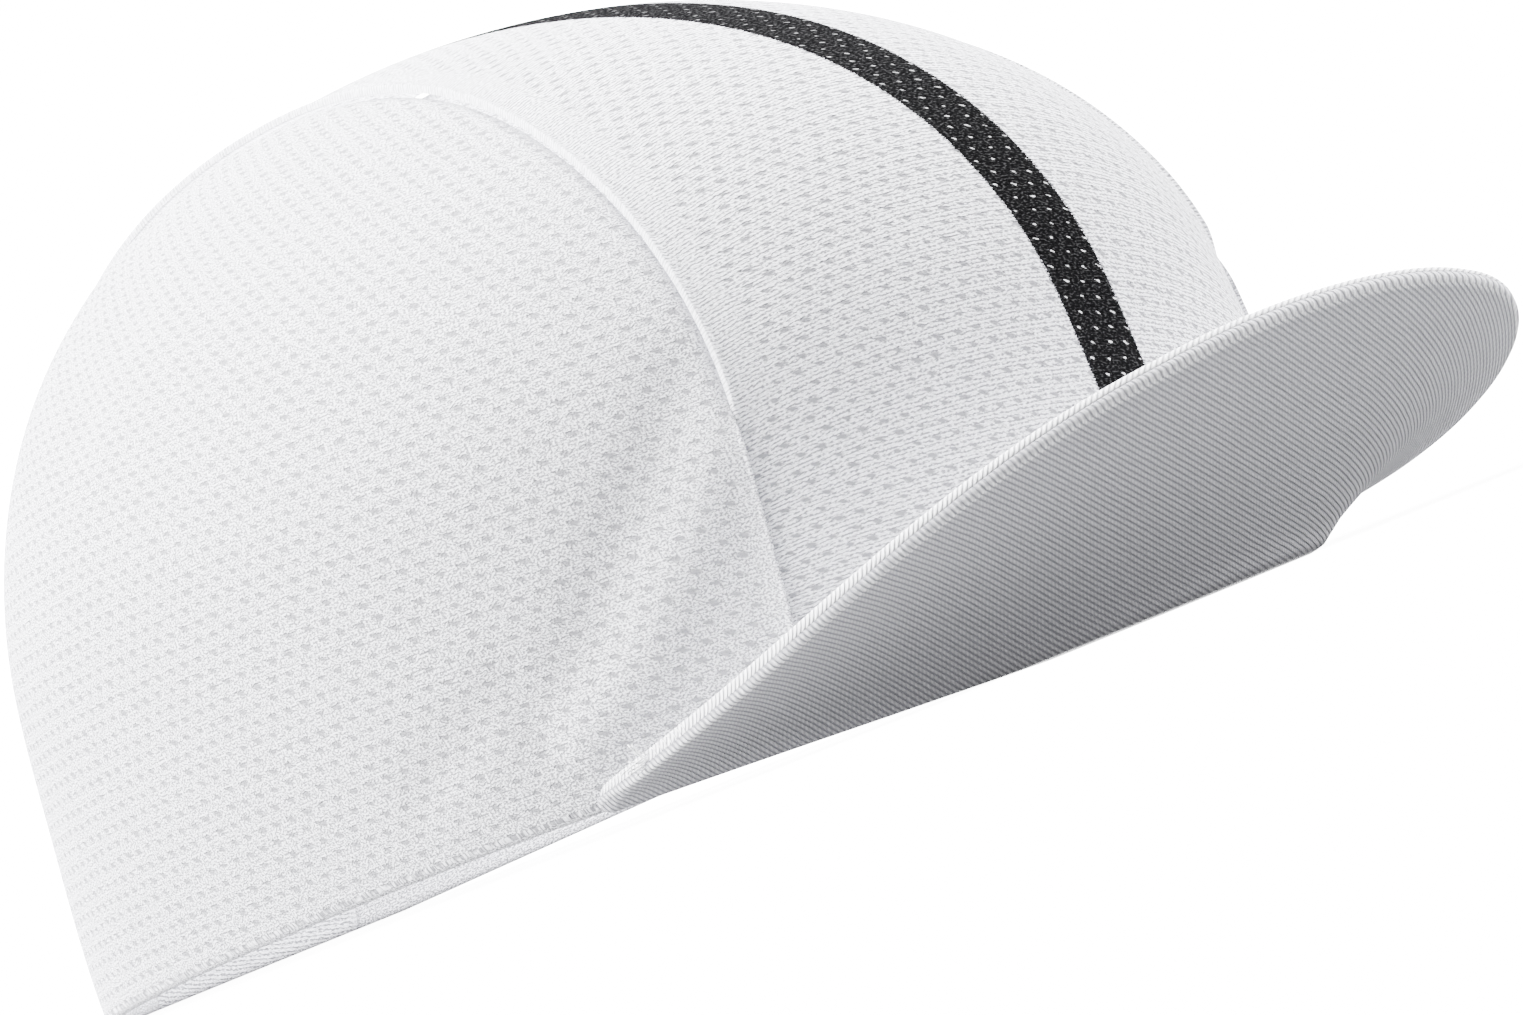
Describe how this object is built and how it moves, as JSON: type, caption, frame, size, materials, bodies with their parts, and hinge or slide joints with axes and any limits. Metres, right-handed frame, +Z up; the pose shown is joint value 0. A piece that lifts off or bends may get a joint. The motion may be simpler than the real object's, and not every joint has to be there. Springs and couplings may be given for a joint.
{
  "type": "cycling cap",
  "caption": "Soft close-fitting cap sewn from mesh-knit panels, with a narrow dark stripe over the middle and a short peak turned up at the front.",
  "frame": {"origin": "on the surface the hem rests on, under the middle of the cap's length and width", "axes": "+Z up, the front with its peak at -Y, the wearer's right side at -X"},
  "size_m": [0.1726, 0.2406, 0.115],
  "materials": {
    "mesh_knit": "matt eyelet mesh knit",
    "mesh_knit_striped": "matt eyelet mesh knit with a dark stripe printed down its middle",
    "ribbed_twill": "matt ribbed twill"
  },
  "bodies": {
    "root": {"crown_centre_panel": "mesh_knit_striped", "crown_side_panel_right": "mesh_knit", "crown_side_panel_left": "mesh_knit", "peak_under_cover": "ribbed_twill", "peak_top_cover": "ribbed_twill"}
  },
  "joints": []
}
